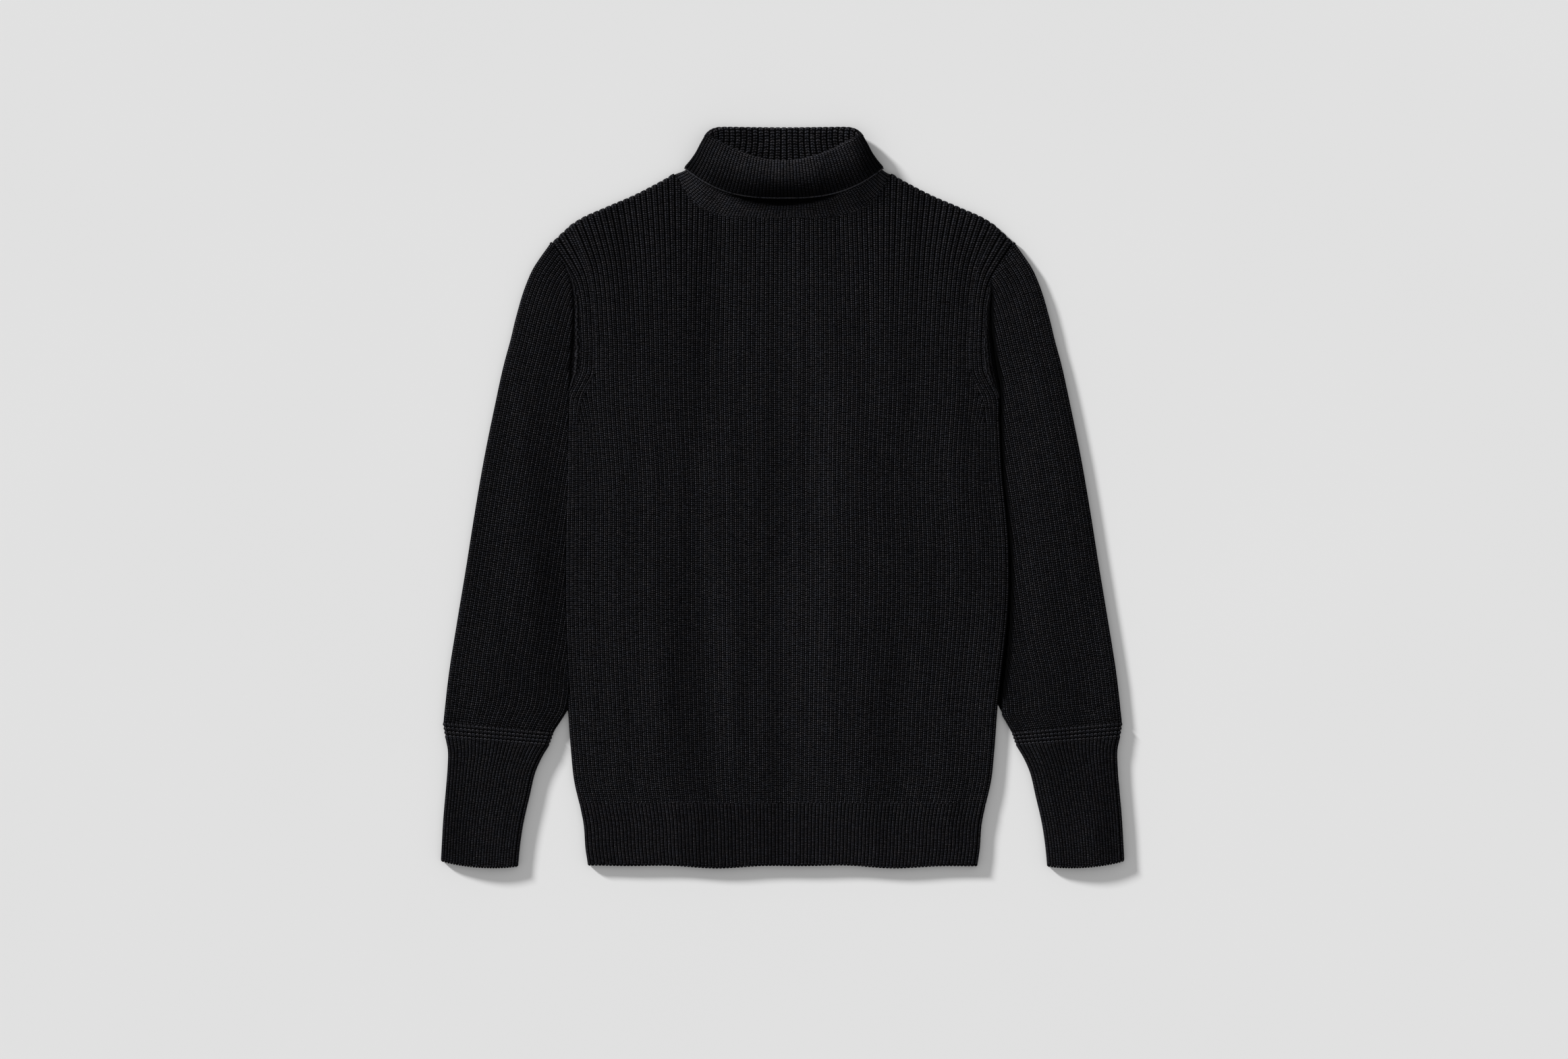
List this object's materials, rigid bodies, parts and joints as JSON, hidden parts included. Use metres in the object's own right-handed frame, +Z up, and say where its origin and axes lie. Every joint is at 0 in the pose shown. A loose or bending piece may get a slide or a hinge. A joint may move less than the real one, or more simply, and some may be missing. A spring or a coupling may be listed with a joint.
{
  "type": "rollneck sweater",
  "caption": "Heavy ribbed pullover laid flat, front up, with a turned-down roll collar, long fitted cuffs and a deep ribbed hem.",
  "frame": {"origin": "on the surface that the sweater lies on, below the middle of its outline", "axes": "+Y from the hem to the collar, +X to the right seen from above, +Z up out of the front"},
  "size_m": [0.6892, 0.7461, 0.0235],
  "materials": {
    "back_wool": "matte heavy wool rib",
    "front_wool": "matte heavy wool rib",
    "hem_rib_back_wool": "matte heavy wool rib",
    "hem_rib_front_wool": "matte heavy wool rib",
    "sleeve_left_wool": "matte heavy wool rib",
    "sleeve_right_wool": "matte heavy wool rib",
    "cuff_left_wool": "matte heavy wool rib",
    "cuff_right_wool": "matte heavy wool rib",
    "rollneck_wool": "matte heavy wool rib"
  },
  "bodies": {
    "root": {"back": "back_wool", "front": "front_wool", "hem_rib_back": "hem_rib_back_wool", "hem_rib_front": "hem_rib_front_wool", "sleeve_left": "sleeve_left_wool", "sleeve_right": "sleeve_right_wool", "cuff_left": "cuff_left_wool", "cuff_right": "cuff_right_wool", "rollneck": "rollneck_wool"}
  },
  "joints": []
}
